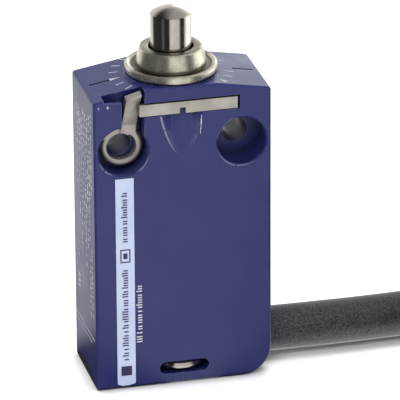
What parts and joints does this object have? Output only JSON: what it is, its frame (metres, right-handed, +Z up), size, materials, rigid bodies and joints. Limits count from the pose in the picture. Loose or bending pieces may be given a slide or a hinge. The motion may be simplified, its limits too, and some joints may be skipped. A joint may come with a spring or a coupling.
{
  "type": "limit switch",
  "caption": "Miniature metal-body limit switch with a sprung steel plunger head, a side-exit lead and a snap-in lock clip, screwed to a flat face through its front.",
  "frame": {"origin": "centre of the switch body's footprint, on the surface it stands on; the coiled lead is left out", "axes": "+X to the side where the lead comes out, +Y from the front face to the mounting face, +Z up towards the plunger"},
  "size_m": [0.1409, 0.0914, 0.0643],
  "materials": {
    "cast": "satin indigo-blue coating on a zinc die casting",
    "nickel": "turned and plated, slightly dull",
    "steel": "polished stainless steel",
    "spring": "drawn spring wire and pressed steel",
    "clip": "satin plated spring steel",
    "rubber": "matt",
    "resin": "moulded",
    "carrier": "moulded",
    "tie": "moulded band",
    "brass": "pressed strip",
    "ferrule": "crimped tinned sleeve",
    "plug": "moulded",
    "sheath": "matt extruded sheath",
    "label": "satin film",
    "wire_brown": "extruded insulation",
    "wire_blue": "extruded insulation",
    "wire_black": "extruded insulation",
    "wire_white": "extruded insulation",
    "wire_green": "extruded insulation"
  },
  "bodies": {
    "body": {"housing": "cast", "back_cover": "cast", "cover_gasket": "rubber", "cover_screw_1": "steel", "cover_screw_2": "steel", "cover_screw_3": "steel", "cover_screw_4": "steel", "contact_block": "resin", "block_cover": "resin", "fixed_contact_nc_left": "brass", "fixed_contact_nc_right": "brass", "fixed_contact_no_left": "brass", "fixed_contact_no_right": "brass", "carrier_spring": "spring", "plug_body": "plug", "plug_seal": "rubber", "cable_collar": "sheath", "label": "label", "cable": "sheath", "cable_coil": "sheath", "cable_tail": "sheath", "coil_tie": "tie", "lead_1": "wire_brown", "lead_2": "wire_blue", "lead_3": "wire_black", "lead_4": "wire_white", "lead_5": "wire_green", "ferrule_1": "ferrule", "ferrule_2": "ferrule", "ferrule_3": "ferrule", "ferrule_4": "ferrule", "ferrule_5": "ferrule"},
    "head": {"head": "nickel", "head_seal": "rubber", "plunger_seal": "rubber", "spring_plate": "spring", "plunger_spring": "spring"},
    "plunger": {"plunger": "steel"},
    "carrier": {"carrier": "carrier", "bridge_spring_nc": "spring", "bridge_spring_no": "spring"},
    "bridge_nc": {"bridge_nc": "brass"},
    "bridge_no": {"bridge_no": "brass"},
    "clip": {"lock_clip": "clip"},
    "staple": {"staple": "steel"}
  },
  "joints": [
    {"name": "head_turn", "type": "hinge", "parent": "body", "child": "head", "pos_m": [0, 0, 0.05315], "axis": [0, 0, 1], "continuous": true},
    {"name": "plunger_travel", "type": "slide", "parent": "head", "child": "plunger", "axis": [0, 0, -1], "range_m": [0, 0.005], "stiffness_N_per_m": 1500, "springref_m": -0.004, "deforming": ["plunger_spring"]},
    {"name": "carrier_travel", "type": "slide", "parent": "body", "child": "carrier", "axis": [0, 0, -1], "range_m": [0, 0.005], "stiffness_N_per_m": 300, "springref_m": -0.006, "deforming": ["carrier_spring"]},
    {"name": "bridge_nc_float", "type": "slide", "parent": "carrier", "child": "bridge_nc", "axis": [0, 0, 1], "range_m": [0, 0.002], "deforming": ["bridge_spring_nc"]},
    {"name": "bridge_no_float", "type": "slide", "parent": "carrier", "child": "bridge_no", "axis": [0, 0, 1], "range_m": [0, 0.002], "deforming": ["bridge_spring_no"]},
    {"name": "clip_release", "type": "slide", "parent": "body", "child": "clip", "axis": [0, -1, 0], "range_m": [0, 0.012]},
    {"name": "staple_release", "type": "slide", "parent": "body", "child": "staple", "axis": [0, -1, 0], "range_m": [0, 0.014]}
  ],
  "couplings": [
    {"joint": "carrier_travel", "follows": "plunger_travel", "ratio": 1},
    {"joint": "bridge_nc_float", "follows": "plunger_travel", "ratio": 0.4},
    {"joint": "bridge_no_float", "follows": "plunger_travel", "ratio": 0.4}
  ]
}
